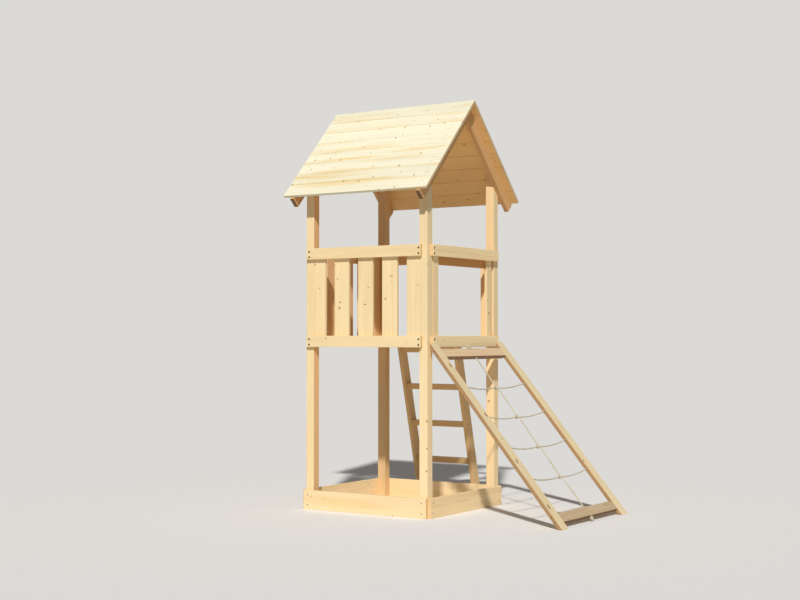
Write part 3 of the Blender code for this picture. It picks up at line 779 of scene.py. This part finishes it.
def beige_rope():
    """Twisted rope of beige synthetic fibre: dull, light where fibres stand up, dark where worn.

    The fibres are 1 mm apart, drawn coarser than real ones, and the worn patches are 110 mm long.
    """
    made = bpy.data.materials.new("laid fibre rope")
    made.use_nodes = True
    tree = made.node_tree
    shader = tree.nodes["Principled BSDF"]
    place = add(tree, "ShaderNodeTexCoord")
    fibres = add(
        tree, "ShaderNodeTexNoise",
        {"Vector": place.outputs["Object"], "Scale": 900, "Detail": 3, "Roughness": 0.7},
    )
    dirt = add(
        tree, "ShaderNodeTexNoise", {"Vector": place.outputs["Object"], "Scale": 9, "Detail": 3},
    )
    amount = add(
        tree, "ShaderNodeMapRange",
        {"Value": fibres.outputs["Fac"], "From Min": 0.35, "From Max": 0.65},
    )
    worn = add(
        tree, "ShaderNodeMapRange",
        {"Value": dirt.outputs["Fac"],
         "From Min": 0.45, "From Max": 0.75, "To Min": 0, "To Max": 0.5},
    )
    colour = linear("BFB095")
    for share, fibre in ((amount, "E2D8C4"), (worn, "A99A80")):
        colour = add(
            tree, "ShaderNodeMix", {0: share.outputs["Result"], 6: colour, 7: linear(fibre)},
            data_type="RGBA",
        ).outputs[2]
    tree.links.new(colour, shader.inputs["Base Color"])
    shader.inputs["Roughness"].default_value = 0.9
    shader.inputs["Specular IOR Level"].default_value = 0.2
    bump = add(
        tree, "ShaderNodeBump",
        {"Height": fibres.outputs["Fac"], "Strength": 0.5, "Distance": 0.0004},
    )
    tree.links.new(bump.outputs["Normal"], shader.inputs["Normal"])
    return made


net_points = []
net_lines = []
for route in [smooth(middle_rope(), ROPE_POINT_SPACING)] + [
    smooth(cross_rope(station), ROPE_POINT_SPACING) for station in ROW_STATIONS
]:
    first = len(net_points)
    net_points += route
    net_lines += [(place, place + 1) for place in range(first, len(net_points) - 1)]
rope_net = grown(
    points_object("rope routes", net_points, net_lines), laid_rope(),
    {"Rope Radius": ROPE_RADIUS, "Lay Length": LAY_LENGTH, "Strands": 3, "Finish": beige_rope()},
    "laid_rope_net",
)
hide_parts("rope_net")
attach(rope_net, "root")

# Ladder
# Two spruce rails lean on the lower rear rail, with four level rungs between them.
# The wood is a little browner than the tower's.
LADDER_LEAN = math.radians(14.33)
LADDER_SPRUCE = {
    "early": "E7C38C", "late": "C89A62", "heart": "D8A86C", "knot": "7F5430", "sawn": "B98D5C",
}
up_ladder = Vector((0, -math.sin(LADDER_LEAN), math.cos(LADDER_LEAN)))
for seed, side in enumerate(("left", "right"), 141):
    rail = f"ladder_rail_{side}"
    dress(rail, planed_spruce(
        f"planed spruce {rail}", middle_of(rail), up_ladder, ACROSS_Y, seed, LADDER_SPRUCE,
    ))
for number in range(1, 5):
    rung = f"ladder_rung_{number}"
    dress(rung, planed_spruce(
        f"planed spruce {rung}", middle_of(rung), ACROSS_X, ACROSS_Y, 150 + number, LADDER_SPRUCE,
    ))

# Screws
# Dark coated wood screws with flat washer heads hold the rails, one above the other at each post.
# Smaller ones hold the sandbox, slats, deck, ramp and ladder; plain nails hold the roof boards.
HEAD_SIDES = 12
RAIL_SCREW_RADIUS = 0.0075
SMALL_SCREW_RADIUS = 0.0042
NAIL_RADIUS = 0.0028
RAIL_SCREW_HEIGHTS = (0.018, 0.058)
SANDBOX_SCREW_EDGE = 0.035
SLAT_SCREW_LIFT = 0.02
SCREW_INSETS = {  # from a board's low end, and from its high end where screws are seen there
    "front rail": (0.028, 0.016), "side rail": (0.0135, 0.0135), "entry rail": (0.0135,),
    "sandbox front": (0.038, 0.038), "sandbox side": (0.034, 0.034), "board": (0.022, 0.022),
}
RUNG_SCREW_SHIFTS = (-0.018, 0.018)
PLANK_SCREW_SHIFTS = (-0.02, 0.02)
PLANK_RISE = 0.006  # the beams' middle lies this much above the planks' middle
NAILS_ACROSS_BOARD = (0.3, 0.7)


def dark_coated_steel():
    """Steel screws with a dark bronze corrosion coating: half dull, with rubbed spots of 2 mm."""
    made = bpy.data.materials.new("dark coated screw steel")
    made.use_nodes = True
    tree = made.node_tree
    shader = tree.nodes["Principled BSDF"]
    place = add(tree, "ShaderNodeTexCoord")
    rubbed = add(
        tree, "ShaderNodeTexNoise", {"Vector": place.outputs["Object"], "Scale": 420, "Detail": 2},
    )
    amount = add(
        tree, "ShaderNodeMapRange",
        {"Value": rubbed.outputs["Fac"], "From Min": 0.45, "From Max": 0.75},
    )
    colour = add(
        tree, "ShaderNodeMix",
        {0: amount.outputs["Result"], 6: linear("3A2618"), 7: linear("6B4C30")},
        data_type="RGBA",
    )
    tree.links.new(colour.outputs[2], shader.inputs["Base Color"])
    shader.inputs["Metallic"].default_value = 0.4
    shader.inputs["Roughness"].default_value = 0.6
    return made


def screw_head():
    """A washer head with a six-point socket, of radius 1, whose underside lies just in the wood.

    Each row is a radius, a height, and 1 where the socket's points shape it.
    """
    rows = ((0.0, 0.10, 0), (0.34, 0.10, 1), (0.38, 0.36, 1), (0.62, 0.38, 0), (0.92, 0.22, 0),
            (1.0, 0.06, 0), (1.0, -0.08, 0))
    shape = bmesh.new()
    rings = []
    for radius, height, lobed in rows[1:]:
        ring = []
        for side in range(HEAD_SIDES):
            angle = math.tau * side / HEAD_SIDES
            reach = radius * (1 - 0.22 * lobed * (side % 2))
            ring.append(shape.verts.new((reach * math.cos(angle), reach * math.sin(angle), height)))
        rings.append(ring)
    top = shape.verts.new((0, 0, rows[0][1]))
    under = shape.verts.new((0, 0, rows[-1][1]))
    for side in range(HEAD_SIDES):
        after = (side + 1) % HEAD_SIDES
        shape.faces.new((top, rings[0][side], rings[0][after]))
        shape.faces.new((under, rings[-1][after], rings[-1][side]))
        for inner, outer in zip(rings, rings[1:]):
            shape.faces.new((inner[side], outer[side], outer[after], inner[after]))
    bmesh.ops.recalc_face_normals(shape, faces=shape.faces)
    mesh = bpy.data.meshes.new("screw head")
    shape.to_mesh(mesh)
    shape.free()
    made = bpy.data.objects.new("screw head", mesh)
    bpy.context.scene.collection.objects.link(made)
    return made


def driven_screws():
    """Geometry Nodes: one head at each point, square to the face, each turned by chance."""
    tree = bpy.data.node_groups.new("driven screws", "GeometryNodeTree")
    face = tree.interface
    face.new_socket("Geometry", in_out="OUTPUT", socket_type="NodeSocketGeometry")
    face.new_socket("Places", in_out="INPUT", socket_type="NodeSocketGeometry")
    face.new_socket("Head", in_out="INPUT", socket_type="NodeSocketObject")
    face.new_socket("Head Radius", in_out="INPUT", socket_type="NodeSocketFloat")
    face.new_socket("Finish", in_out="INPUT", socket_type="NodeSocketMaterial")
    given = add(tree, "NodeGroupInput").outputs
    head = add(
        tree, "GeometryNodeObjectInfo", {"Object": given["Head"]}, transform_space="ORIGINAL",
    )
    outward = add(
        tree, "GeometryNodeInputNamedAttribute", {"Name": "outward"}, data_type="FLOAT_VECTOR",
    )
    square = add(
        tree, "FunctionNodeAlignRotationToVector",
        {"Vector": outward.outputs["Attribute"]}, axis="Z",
    )
    chance = add(
        tree, "FunctionNodeRandomValue", {2: 0.0, 3: math.tau, "Seed": 5}, data_type="FLOAT",
    )
    spin = add(tree, "ShaderNodeCombineXYZ", {"Z": chance.outputs[1]})
    turned = add(
        tree, "FunctionNodeRotateRotation",
        {"Rotation": square.outputs[0], "Rotate By": spin.outputs[0]}, rotation_space="LOCAL",
    )
    set_in = add(
        tree, "GeometryNodeInstanceOnPoints",
        {"Points": given["Places"], "Instance": head.outputs["Geometry"],
         "Rotation": turned.outputs[0], "Scale": given["Head Radius"]},
    )
    real = add(tree, "GeometryNodeRealizeInstances", {0: set_in.outputs[0]})
    finished = add(
        tree, "GeometryNodeSetMaterial", {"Geometry": real.outputs[0], "Material": given["Finish"]},
    )
    add(tree, "NodeGroupOutput", {"Geometry": finished.outputs[0]})
    return tree


def fasten(name, places, radius, finish):
    """Drive a screw at each place, given as its point on the surface and the way it faces."""
    source = points_object(f"{name}_places", [point for point, _ in places])
    outward = source.data.attributes.new("outward", "FLOAT_VECTOR", "POINT")
    for item, (_, way) in zip(outward.data, places):
        item.vector = way
    made = grown(source, screws_tree, {"Head": head, "Head Radius": radius, "Finish": finish}, name)
    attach(made, "root")


def screws_in(node, way, insets, heights):
    """Screws in one face of an upright board: by each end that has an inset, one at each height."""
    low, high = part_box(node)
    across = 0 if way[0] else 1
    face = high[across] if way[across] > 0 else low[across]
    along = 1 - across
    stations = [low[along] + insets[0]] + [high[along] - inset for inset in insets[1:]]
    return [
        ((face, station, height) if across == 0 else (station, face, height), way)
        for station in stations for height in heights
    ]


screws_tree = driven_screws()
head = screw_head()
coated = dark_coated_steel()

OUTWARD = {"front": (0, -1, 0), "rear": (0, 1, 0), "left": (-1, 0, 0), "right": (1, 0, 0)}
rail_screws = []
for level in ("lower", "upper"):
    for side, way in OUTWARD.items():
        rail = f"{level}_rail_{side}"
        kind = {"left": "side rail", "right": "entry rail"}.get(side, "front rail")
        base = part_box(rail)[0].z
        heights = [base + height for height in RAIL_SCREW_HEIGHTS]
        rail_screws += screws_in(rail, way, SCREW_INSETS[kind], heights)
fasten("rail_screws", rail_screws, RAIL_SCREW_RADIUS, coated)

small_screws = []
for side, way in OUTWARD.items():
    board = f"sandbox_board_{side}"
    kind = "sandbox front" if side in ("front", "rear") else "sandbox side"
    low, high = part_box(board)
    heights = (low.z + SANDBOX_SCREW_EDGE, high.z - SANDBOX_SCREW_EDGE)
    small_screws += screws_in(board, way, SCREW_INSETS[kind], heights)
slat_heights = (middle_of("lower_rail_front").z + SLAT_SCREW_LIFT, middle_of("upper_rail_front").z)
for slat in slats:
    way = INWARD[slat.split("_")[1]]
    for height in slat_heights:
        small_screws += screws_in(slat, way, SCREW_INSETS["board"], (height,))
for number in range(1, 9):
    low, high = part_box(f"deck_board_{number}")
    from_low, from_high = SCREW_INSETS["board"]
    for side in ("left", "right"):
        for y in (low.y + from_low, high.y - from_high):
            small_screws.append(((middle_of(f"deck_bearer_{side}").x, y, high.z), (0, 0, 1)))
for number in range(1, 5):
    centre = middle_of(f"ladder_rung_{number}")
    for side in ("left", "right"):
        low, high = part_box(f"ladder_rail_{side}")
        face_x = low.x if side == "left" else high.x
        for shift in RUNG_SCREW_SHIFTS:
            small_screws.append(((face_x, centre.y + shift, centre.z), OUTWARD[side]))
for place in ("top", "bottom"):
    centre = middle_of(f"ramp_plank_{place}")
    for side in ("front", "rear"):
        low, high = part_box(f"ramp_beam_{side}")
        face_y = low.y if side == "front" else high.y
        for shift in PLANK_SCREW_SHIFTS:
            spot = centre + down_ramp * shift + off_ramp * PLANK_RISE
            small_screws.append(((spot.x, face_y, spot.z), OUTWARD[side]))
fasten("small_screws", small_screws, SMALL_SCREW_RADIUS, coated)

roof_nails = []
for down, upward in slopes.values():
    for number in range(ROOF_BOARDS_PER_SLOPE):
        for side in ("left", "right"):
            x = middle_of(f"rafter_front_{side}").x
            for across in NAILS_ACROSS_BOARD:
                spot = ridge + down * roof_board_width * (number + across)
                roof_nails.append(((x, spot.y, spot.z), tuple(upward)))
fasten("roof_nails", roof_nails, NAIL_RADIUS, coated)
bpy.data.objects.remove(head, do_unlink=True)

# Studio
# A round pale floor and a backdrop of its tone, a soft sun from the front right, and even light.
# The camera stands about 10 m off and 1.3 m up, where the fit to the photo puts it.
FLOOR_RADIUS = 7
FLOOR_CORNERS = 96
PALE = "F4F2EE"
BACKDROP_STRENGTH = 0.788
FILL_STRENGTH = 0.17
SUN_STRENGTH = 3.05
SUN_WIDTH = math.radians(2.5)
SUN_FROM = Vector((0.363, -0.682, 0.635))
LENS = 62.96
CAMERA_PLACE = (5.3196, -9.0376, 1.2906)
CAMERA_TURN = (math.radians(91.4725), 0, math.radians(33.237))
floor_mesh = bpy.data.meshes.new("floor")
floor_edge = [math.tau * corner / FLOOR_CORNERS for corner in range(FLOOR_CORNERS)]
floor_mesh.from_pydata(
    [(FLOOR_RADIUS * math.cos(angle), FLOOR_RADIUS * math.sin(angle), 0) for angle in floor_edge],
    [], [tuple(range(FLOOR_CORNERS))],
)
floor = bpy.data.objects.new("floor", floor_mesh)
bpy.context.scene.collection.objects.link(floor)
floor_finish = bpy.data.materials.new("pale floor")
floor_finish.use_nodes = True
floor_shader = floor_finish.node_tree.nodes["Principled BSDF"]
floor_shader.inputs["Base Color"].default_value = linear(PALE)
floor_shader.inputs["Roughness"].default_value = 1
floor_shader.inputs["Specular IOR Level"].default_value = 0
floor_mesh.materials.append(floor_finish)

world = bpy.data.worlds.new("studio")
world.use_nodes = True
bpy.context.scene.world = world
sky = world.node_tree
background = sky.nodes["Background"]
background.inputs["Color"].default_value = (1, 1, 1, 1)
background.inputs["Strength"].default_value = FILL_STRENGTH
seen = add(sky, "ShaderNodeBackground", {"Color": linear(PALE), "Strength": BACKDROP_STRENGTH})
path = add(sky, "ShaderNodeLightPath")
either = add(
    sky, "ShaderNodeMath",
    {0: path.outputs["Is Camera Ray"], 1: path.outputs["Is Glossy Ray"]}, operation="MAXIMUM",
)
shown = add(
    sky, "ShaderNodeMixShader",
    {0: either.outputs[0], 1: background.outputs[0], 2: seen.outputs[0]},
)
sky.links.new(shown.outputs[0], sky.nodes["World Output"].inputs["Surface"])

sun_data = bpy.data.lights.new("soft sun", "SUN")
sun_data.energy = SUN_STRENGTH
sun_data.angle = SUN_WIDTH
sun = bpy.data.objects.new("soft sun", sun_data)
sun.rotation_euler = SUN_FROM.to_track_quat("Z", "Y").to_euler()
bpy.context.scene.collection.objects.link(sun)

camera_data = bpy.data.cameras.new("camera")
camera_data.sensor_width = 36
camera_data.lens = LENS
camera_data.clip_end = 200
camera = bpy.data.objects.new("camera", camera_data)
camera.location = CAMERA_PLACE
camera.rotation_euler = CAMERA_TURN
bpy.context.scene.collection.objects.link(camera)
bpy.context.scene.camera = camera
bpy.context.scene.view_settings.view_transform = "Standard"
